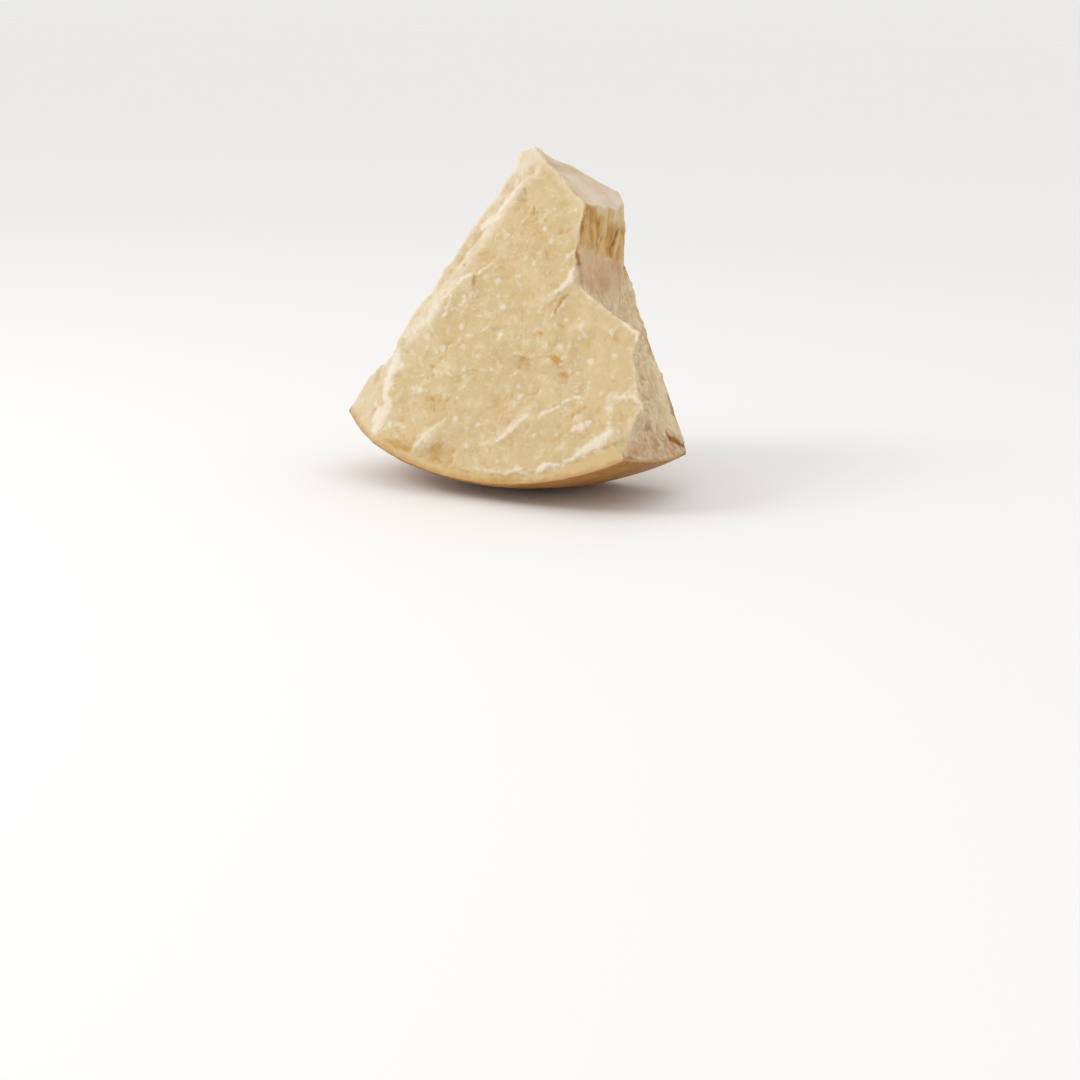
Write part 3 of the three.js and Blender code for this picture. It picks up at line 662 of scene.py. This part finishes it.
def finish_mesh(mesh, crystals):
    """Stores on the finished mesh what its material reads, in millimetres or as shares."""
    points, edges = read(mesh, "co"), read(mesh, "vertices", 2, "edges").astype(int)
    normals = to_wheel(read(mesh, "vector", 3, "vertex_normals"))
    places = to_wheel(points / MM - WHEEL_SHIFT)
    turned = relaxed(normals, edges, TURNED_NORMALS)
    zone = zones(places, turned / np.linalg.norm(turned, axis=1)[:, None])
    fine = ((places - relaxed(places, edges, FINE_COPY)) * normals).sum(1)
    broad = ((places - relaxed(places, edges, BROAD_COPY)) * normals).sum(1)
    x, t, z = places.T
    reach, right = zone["reach"], zone["right"]
    # tone: the marks' strokes, lighter on chipped crests and on edges that stand out, and a lighter band on
    # the right face; partly painted highlight and painted shade, partly the paste's own shades
    facing = within(smoothstep(-0.15, 0.35, -normals[:, 1]), (t, MARK_DEPTH))
    tone = facing * marked(*wandering(x, z, places), MARKS, 3)
    tone += 0.35 * chipped_lines(front_grain(places), places) * (1 - right) * (1 - zone["top"])
    tone += right * marked(*wandering(t, reach, places), RIGHT_MARKS, 3)
    tone += 0.45 * smoothstep(0.8, 2.2, broad) * (1 - zone["rind"]) * (1 - zone["top"])
    tone += within(0.40 * right, (t, PALE_BACK), (reach, PALE_START), (reach, PALE_END))
    # painted light: the left side and its rounded edge, which face the lamp, and the top of the front are
    # painted lighter
    fresh = zone["left_edge"] * (0.6 + 0.35 * smoothstep(-62, -42, z)) + 0.12 * smoothstep(-30, 0, z)
    fresh = 0.6 * zone["left"] + fresh * (1 - right)
    fine = fine * np.where(fine > 0, 1 - 0.7 * zone["torn"], 1)
    stored = {
        "crest": relaxed(fine[:, None], edges, 1)[:, 0] * (1 - 0.75 * smoothstep(0.7, 1.6, broad)),
        "dip": -relaxed(broad[:, None], edges, 2)[:, 0],
        "tone": tone,
        "fresh": fresh.clip(0, 1),
        "rind_gap": rind_gap(places),
        "band": band_share(places).clip(0, 3),
        "crystal_gap": (crystal_gap(places, crystals) + 0.8 * zone["smooth"]).clip(-3, 3),
        "bare": zone["bare"],
        "lip": zone["lip"] * zone["front"],
        "torn": zone["torn"],
        "smooth": zone["smooth"],
        "foot": zone["foot"],
        "right": right,
        "top": zone["top"] * smoothstep(-3, 14, t) * smoothstep(6, -12, z - 0.1 * t),
    }
    for name, values in stored.items():
        mesh.attributes.new(name, "FLOAT", "POINT").data.foreach_set("value", values.astype(np.float32))


# ---- Materials ----


def add_node(tree, kind, links=None, **settings):
    """Adds a node, sets it, and gives its inputs values or links them to sockets."""
    node = tree.nodes.new(kind)
    for name, value in settings.items():
        setattr(node, name, value)
    for name, value in (links or {}).items():
        socket = node.inputs[name]
        if isinstance(value, bpy.types.NodeSocket):
            tree.links.new(value, socket)
        else:
            socket.default_value = value
    return node


def per_metre(millimetres):
    """The scale of a pattern whose features are this many millimetres across."""
    return 1 / (millimetres * MM)


def cloudy(tree, place, size, detail, roughness, start, end, low=0.0, high=1.0):
    """Soft patches `size` millimetres across: from low to high where the cloud runs from start to end."""
    cloud = add_node(
        tree,
        "ShaderNodeTexNoise",
        {"Vector": place, "Scale": per_metre(size), "Detail": detail, "Roughness": roughness},
    )
    share = add_node(
        tree,
        "ShaderNodeMapRange",
        {"Value": cloud.outputs["Fac"], "From Min": start, "From Max": end, "To Min": low, "To Max": high},
        interpolation_type="SMOOTHSTEP",
    )
    return share.outputs["Result"]


def measured(tree, name, start, end, strength=1.0, uneven=None):
    """How far the surface's own measure has come from start to end, times strength. uneven adds to it."""
    value = add_node(tree, "ShaderNodeAttribute", attribute_name=name).outputs["Fac"]
    if uneven:
        value = add_node(tree, "ShaderNodeMath", {0: value, 1: uneven}, operation="ADD").outputs[0]
    share = add_node(
        tree,
        "ShaderNodeMapRange",
        {"Value": value, "From Min": start, "From Max": end, "To Max": strength},
        interpolation_type="SMOOTHSTEP",
    )
    return share.outputs["Result"]


def shade_over(tree, below, above, *shares):
    """Lays one shade over another, as much as all the shares together say."""
    share = shares[0]
    for other in shares[1:]:
        share = add_node(tree, "ShaderNodeMath", {0: share, 1: other}, operation="MULTIPLY").outputs[0]
    return add_node(tree, "ShaderNodeMix", {0: share, 6: below, 7: above}, data_type="RGBA").outputs[2]


def mottled(tree, dark, light, *cloud):
    """Two shades in soft patches: cloud is what cloudy takes after the tree."""
    return shade_over(tree, linear(dark), linear(light), cloudy(tree, *cloud))


def cheese_material(colours):
    """Hard grating cheese, broken by hand: dry, granular and matt, a little like wax, paler where it is
    newly broken, amber where it is dense, with white crystals. Light is painted too: a painted highlight on
    the crests, painted light on the side towards the lamp, a painted sheen on the facet at the top and
    painted shade, amber, in the hollows and cracks. Its rind is dried, oiled cheese, brown and smoother."""
    material = bpy.data.materials.new("hard_grating_cheese")
    material.use_nodes = True
    tree = material.node_tree
    tree.nodes.clear()
    place = add_node(tree, "ShaderNodeTexCoord").outputs["Object"]
    wheel = add_node(tree, "ShaderNodeMapping", {"Vector": place, "Rotation": (LEAN, 0.0, 0.0)})
    wheel = wheel.outputs["Vector"]
    streaked = {"Vector": wheel, "Rotation": (0.0, RIGHT_ANGLE, 0.0), "Scale": (1.0, 0.62, 0.22)}
    grain = add_node(tree, "ShaderNodeMapping", streaked).outputs["Vector"]
    flow = add_node(tree, "ShaderNodeMapping", {"Vector": grain, "Scale": (1.0, 0.75, 2.0)})
    flow = flow.outputs["Vector"]
    crumbs = add_node(tree, "ShaderNodeMapping", {"Vector": wheel, "Scale": (1.0, 0.35, 1.0)})
    crumbs = crumbs.outputs["Vector"]

    # paste: broad clouds, then small mottles, each of its own shade
    paste = colours.paste
    for size, detail, roughness, start, end, strength, shade in (
        (34, 3, 0.55, 0.42, 0.66, 0.40, "#deca9f"),
        (15, 4, 0.55, 0.50, 0.70, 0.55, "#ccae7b"),
        (11, 4, 0.60, 0.52, 0.68, 0.40, "#d3b690"),
        (6.5, 4, 0.60, 0.50, 0.70, 0.45, "#e6d7b8"),
        (4.0, 4, 0.65, 0.52, 0.72, 0.45, "#c7a56b"),
        (1.8, 3, 0.65, 0.56, 0.74, 0.30, "#e9decb"),
    ):
        patches = cloudy(tree, place, size, detail, roughness, start, end, 0, strength)
        paste = shade_over(tree, paste, linear(shade), patches)

    # the lip that flares out on the right is smoother and yellower
    paste = shade_over(tree, paste, linear("#d8c091"), measured(tree, "lip", 0, 1, 0.55))

    # right face: light streaks, amber where it is torn, rosy where it is smooth, brownish at its foot
    light = mottled(tree, "#caac7d", "#e2cda4", flow, 8.0, 5, 0.62, 0.38, 0.62)
    light = shade_over(tree, light, linear("#dac0a2"), cloudy(tree, flow, 13, 4, 0.60, 0.46, 0.62, 0, 0.55))
    paste = shade_over(tree, paste, light, measured(tree, "right", 0, 1, 0.72))
    dark_streaks = cloudy(tree, grain, 4.0, 5, 0.66, 0.48, 0.62, 0, 0.50)
    paste = shade_over(tree, paste, linear("#bb9766"), dark_streaks, measured(tree, "right", 0, 1))
    pale_streaks = cloudy(tree, grain, 2.6, 4, 0.66, 0.49, 0.64, 0, 0.68)
    paste = shade_over(tree, paste, linear("#eeddc0"), pale_streaks, measured(tree, "right", 0, 1))
    amber = mottled(tree, "#b68236", "#d9b16b", grain, 7.0, 6, 0.66, 0.40, 0.62)
    fibres = cloudy(tree, grain, 3.0, 5, 0.66, 0.48, 0.68, 0, 0.6)
    amber = shade_over(tree, amber, linear("#dfc186"), fibres)
    patchy = cloudy(tree, place, 18, 3, 0.55, 0.34, 0.58, 0.62, 0.98)
    paste = shade_over(tree, paste, amber, patchy, measured(tree, "torn", 0, 1))
    tan = mottled(tree, "#cfb384", "#e2cda0", grain, 5.0, 5, 0.62, 0.40, 0.62)
    paste = shade_over(tree, paste, tan, measured(tree, "bare", 0, 1, 0.85))
    rosy = mottled(tree, "#bf966f", "#d3b591", flow, 12, 5, 0.60, 0.38, 0.64)
    paste = shade_over(tree, paste, rosy, measured(tree, "smooth", 0, 1, 0.84))
    brownish = mottled(tree, "#b58e69", "#d5ba98", crumbs, 4.5, 5, 0.70, 0.38, 0.64)
    paste = shade_over(tree, paste, brownish, measured(tree, "foot", 0, 1, 0.78))

    # painted sheen on the facet at the top: it is painted lighter and lilac-grey, with lighter spots, for
    # the soft reflection on its smoother surface; painted light: the left side and its rounded edge, which
    # face the lamp, and the top of the front are painted lighter
    facet_sheen = mottled(tree, "#dfc8b0", "#ebd9c5", place, 18, 5, 0.60, 0.38, 0.64)
    facet_sheen = shade_over(tree, facet_sheen, linear("#efe3d2"), cloudy(tree, place, 4.0, 3, 0.60, 0.60, 0.76, 0, 0.7))
    paste = shade_over(tree, paste, facet_sheen, measured(tree, "top", 0, 1, 0.82))
    fresh = mottled(tree, "#e4d4b5", "#efe6d9", place, 9, 4, 0.60, 0.36, 0.66)
    paste = shade_over(tree, paste, fresh, measured(tree, "fresh", 0, 1, 0.55))

    # relief: painted shade, amber, in the broad hollows and small creases; on the crests and bulges a
    # painted highlight, partly the whitish paste of newly broken fracture lines
    paste = shade_over(tree, paste, colours.amber, measured(tree, "dip", 0.15, 1.3, 0.30))
    paste = shade_over(tree, paste, colours.pale_and_highlight, measured(tree, "dip", -0.15, -1.3, 0.22))
    paste = shade_over(tree, paste, colours.amber, measured(tree, "crest", -0.05, -0.28, 0.30))
    chalky = cloudy(tree, place, 8, 4, 0.60, 0.40, 0.62, 0.05, 0.60)
    paste = shade_over(tree, paste, colours.pale_and_highlight, measured(tree, "crest", 0.05, 0.26), chalky)

    # lighter and amber strokes: partly painted highlight on crests that face the lamp and painted shade in
    # pits, cracks, under ledges and behind the lip, partly paler paste where flakes have come off and amber
    # paste where it is dense
    amber_stroke_and_shade = shade_over(tree, linear("#c4964c"), linear("#9f6a1f"), measured(tree, "right", 0, 1))
    pale_stroke_and_highlight = shade_over(tree, colours.pale_and_highlight, linear("#e6d3ae"), measured(tree, "right", 0, 1))
    broken = cloudy(tree, place, 3.4, 5, 0.70, 0.30, 0.70, -0.27, 0.27)
    paste = shade_over(tree, paste, pale_stroke_and_highlight, measured(tree, "tone", 0.10, 1.10, 0.82, broken))
    paste = shade_over(tree, paste, amber_stroke_and_shade, measured(tree, "tone", -0.14, -1.20, 0.90, broken))

    # crystals, each with an uneven edge, and specks too small to be told apart
    uneven = cloudy(tree, place, 1.8, 3, 0.55, 0.3, 0.7, -0.7, 0.7)
    paste = shade_over(tree, paste, colours.crystal, measured(tree, "crystal_gap", 0.9, -1.4, 0.54, uneven))
    specks = add_node(tree, "ShaderNodeTexVoronoi", {"Vector": place, "Scale": per_metre(5.0)})
    faint = add_node(
        tree,
        "ShaderNodeMapRange",
        {"Value": specks.outputs["Distance"], "From Min": 0.16, "From Max": 0.04, "To Max": 0.28},
        interpolation_type="SMOOTHSTEP",
    )
    paste = shade_over(tree, paste, colours.crystal, faint.outputs["Result"])

    # the dense band inside the rind, browner towards it, then the rind's skin
    frayed = cloudy(tree, place, 5, 3, 0.55, 0.3, 0.7, -0.9, 0.9)
    browner = measured(tree, "rind_gap", 5.5, 1.2, 1.0, frayed)
    denser = shade_over(tree, colours.band, linear("#bd8c47"), browner)
    wavy = cloudy(tree, place, 6, 3, 0.55, 0.3, 0.7, -0.14, 0.14)
    inside = measured(tree, "band", 1.05, 0.80, 0.72, wavy)
    paste = shade_over(tree, paste, denser, inside, measured(tree, "right", 1, 0))
    horny = measured(tree, "rind_gap", 3.4, 1.6, 0.75)
    paste = shade_over(tree, paste, linear("#b8893c"), horny, measured(tree, "right", 0, 1))
    skin = shade_over(tree, colours.rind, linear("#ab7938"), cloudy(tree, place, 22, 4, 0.55, 0.40, 0.64))
    skin = shade_over(tree, skin, colours.rind_dark, cloudy(tree, place, 3.0, 4, 0.65, 0.50, 0.74, 0, 0.60))
    skin = shade_over(tree, skin, linear("#cba25f"), cloudy(tree, place, 7.0, 5, 0.70, 0.56, 0.74, 0, 0.40))
    thin = cloudy(tree, place, 1.6, 2, 0.55, 0.3, 0.7, -0.18, 0.18)
    on_skin = measured(tree, "rind_gap", 1.25, 0.75, 1.0, thin)
    colour = shade_over(tree, paste, skin, on_skin)

    # grain: the curd's own granules of 1 to 3 mm, fainter on the rind and on the facet at the top
    curds = add_node(tree, "ShaderNodeTexVoronoi", {"Vector": place, "Scale": per_metre(2.6)})
    height = add_node(
        tree,
        "ShaderNodeMath",
        {0: curds.outputs["Distance"], 1: 0.45, 2: cloudy(tree, place, 1.1, 5, 0.65, 0, 1, 0, 0.9)},
        operation="MULTIPLY_ADD",
    ).outputs[0]
    for calm, least in ((on_skin, 0.35), (measured(tree, "top", 0, 1), 0.45)):
        left = add_node(tree, "ShaderNodeMapRange", {"Value": calm, "To Min": 1.0, "To Max": least})
        both = {0: height, 1: left.outputs["Result"]}
        height = add_node(tree, "ShaderNodeMath", both, operation="MULTIPLY").outputs[0]
    bump = add_node(tree, "ShaderNodeBump", {"Height": height, "Strength": 0.6, "Distance": 0.6 * MM})
    matt = add_node(tree, "ShaderNodeMapRange", {"Value": on_skin, "To Min": 0.66, "To Max": 0.48})
    shader = add_node(
        tree,
        "ShaderNodeBsdfPrincipled",
        {
            "Base Color": colour,
            "Roughness": matt.outputs["Result"],
            "Normal": bump.outputs["Normal"],
            "IOR": 1.45,
            "Specular IOR Level": 0.4,
            "Subsurface Weight": 0.16,
            "Subsurface Radius": (1.0, 0.62, 0.34),
            "Subsurface Scale": 2.2 * MM,
        },
    )
    add_node(tree, "ShaderNodeOutputMaterial", {"Surface": shader.outputs["BSDF"]})
    return material


def floor_material(colour):
    """Matt painted board: one pale colour with a faint unevenness."""
    material = bpy.data.materials.new("matt_painted_board")
    material.use_nodes = True
    tree = material.node_tree
    shader = tree.nodes["Principled BSDF"]
    clouds = add_node(tree, "ShaderNodeTexNoise", {"Scale": per_metre(300)}).outputs["Fac"]
    matt = add_node(tree, "ShaderNodeMapRange", {"Value": clouds, "To Min": 0.75, "To Max": 0.85})
    tree.links.new(matt.outputs["Result"], shader.inputs["Roughness"])
    shader.inputs["Base Color"].default_value = colour
    return material


# ---- Operators ----


class CHEESE_OT_chunk(bpy.types.Operator):
    """Builds the broken chunk with its rind"""

    bl_idname = "cheese.chunk"
    bl_label = "Build the chunk"

    def execute(self, context):
        settings = context.scene.cheese_shape
        mesh = evaluated(
            merged_copy(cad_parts[NODE]),
            (
                ("SUBSURF", {"levels": 2, "render_levels": 2}),
                ("REMESH", {"mode": "VOXEL", "voxel_size": settings.cell, "adaptivity": 0.0}),
            ),
        )
        if not mesh.vertices:
            raise RuntimeError("the chunk's surface could not be rebuilt")
        edges = read(mesh, "vertices", 2, "edges").astype(int)
        points = relaxed(read(mesh, "co"), edges, EVEN_POINTS)
        normals = relaxed(to_wheel(read(mesh, "vector", 3, "vertex_normals")), edges, EVEN_NORMALS)
        normals /= np.linalg.norm(normals, axis=1)[:, None]
        places = to_wheel(points / MM - WHEEL_SHIFT)
        crystals = scatter_crystals(places, normals, settings)
        zone = zones(places, normals)
        soft = relaxed(places, edges, SOFT_COPY)
        bulge = ((places - soft) * normals).sum(1)
        by_top = near_facet(places, edges, zone["top"])
        zone["by_top"] = np.maximum(by_top, zone["top"])
        rounding = np.maximum(by_top, zone["left_edge"] * (1 - zone["rind"]))
        places = rounded(places, soft, edges, rounding)
        calm = within(zone["smooth"], (places[:, 1], CALM_DEPTH)) * (1 - rounding)
        places = places + (soft - places) * calm[:, None]
        height = broken_relief(places, edges, bulge, zone, crystals, settings)
        places = places + normals * height[:, None]
        points = (to_row(places) + WHEEL_SHIFT) * MM
        points[:, 2] = np.maximum(points[:, 2], 0.0)
        mesh.vertices.foreach_set("co", points.ravel())
        triangles = len(mesh.loops) - 2 * len(mesh.polygons)
        mesh = evaluated(mesh, (("DECIMATE", {"ratio": min(1.0, settings.triangles / triangles)}),))
        mesh.name = "broken_cheese"
        mesh.shade_smooth()
        finish_mesh(mesh, crystals)
        mesh.materials.clear()
        mesh.materials.append(cheese_material(context.scene.cheese_colours))
        chunk = bpy.data.objects.new("broken_cheese", mesh)
        context.scene.collection.objects.link(chunk)
        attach(chunk, "root")
        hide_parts(NODE)
        return {"FINISHED"}


class CHEESE_OT_stage(bpy.types.Operator):
    """Builds the floor, the lights and the camera"""

    bl_idname = "cheese.stage"
    bl_label = "Build the stage"

    def execute(self, context):
        settings = context.scene.cheese_stage
        bm = bmesh.new()
        bmesh.ops.create_circle(bm, cap_ends=True, radius=FLOOR_RADIUS, segments=FLOOR_SIDES)
        mesh = bpy.data.meshes.new("floor")
        bm.to_mesh(mesh)
        bm.free()
        mesh.materials.append(floor_material(settings.floor))
        floor = bpy.data.objects.new("floor", mesh)
        context.scene.collection.objects.link(floor)

        world = bpy.data.worlds.new("studio")
        world.use_nodes = True
        tree = world.node_tree
        background = tree.nodes["Background"]
        background.inputs["Color"].default_value = FILL_TINT
        seen = add_node(tree, "ShaderNodeLightPath").outputs["Is Camera Ray"]
        levels = {"Value": seen, "To Min": settings.fill, "To Max": settings.backdrop}
        strength = add_node(tree, "ShaderNodeMapRange", levels)
        tree.links.new(strength.outputs["Result"], background.inputs["Strength"])
        context.scene.world = world

        light = bpy.data.lights.new("key", "AREA")
        light.shape, light.size = "DISK", LAMP_SIZE
        light.energy = settings.key
        light.color = KEY_TINT
        lamp = bpy.data.objects.new("key", light)
        lamp.location = LAMP_PLACE
        lamp.rotation_euler = (Vector(LAMP_AIM) - lamp.location).to_track_quat("-Z", "Y").to_euler()
        context.scene.collection.objects.link(lamp)

        camera = bpy.data.objects.new("camera", bpy.data.cameras.new("camera"))
        camera.data.lens, camera.data.sensor_width = settings.lens, SENSOR
        camera.location = CAMERA_PLACE
        camera.rotation_mode = "QUATERNION"
        heading = Quaternion((0, 0, 1), math.radians(CAMERA_TURN))
        tilt = Quaternion((1, 0, 0), math.radians(CAMERA_TILT))
        roll = Quaternion((0, 0, 1), CAMERA_ROLL)
        camera.rotation_quaternion = heading @ tilt @ roll
        context.scene.collection.objects.link(camera)
        context.scene.camera = camera
        context.scene.view_settings.view_transform = "Standard"
        return {"FINISHED"}


class CHEESE_PT_panel(bpy.types.Panel):
    """Lists the sizes, colours and operators"""

    bl_label = "Cheese"
    bl_idname = "CHEESE_PT_panel"
    bl_space_type = "VIEW_3D"
    bl_region_type = "UI"
    bl_category = "Cheese"

    def draw(self, context):
        for group in (context.scene.cheese_shape, context.scene.cheese_colours, context.scene.cheese_stage):
            box = self.layout.box()
            for name in type(group).__annotations__:
                box.prop(group, name)
        self.layout.operator("cheese.chunk")
        self.layout.operator("cheese.stage")


CLASSES = (CheeseShape, CheeseColours, CheeseStage, CHEESE_OT_chunk, CHEESE_OT_stage, CHEESE_PT_panel)


def register():
    for cls in CLASSES:
        bpy.utils.register_class(cls)
    bpy.types.Scene.cheese_shape = bpy.props.PointerProperty(type=CheeseShape)
    bpy.types.Scene.cheese_colours = bpy.props.PointerProperty(type=CheeseColours)
    bpy.types.Scene.cheese_stage = bpy.props.PointerProperty(type=CheeseStage)


def unregister():
    del bpy.types.Scene.cheese_stage, bpy.types.Scene.cheese_colours, bpy.types.Scene.cheese_shape
    for cls in reversed(CLASSES):
        bpy.utils.unregister_class(cls)


def main():
    register()
    bpy.ops.cheese.chunk()
    bpy.ops.cheese.stage()


if __name__ == "__main__":
    main()
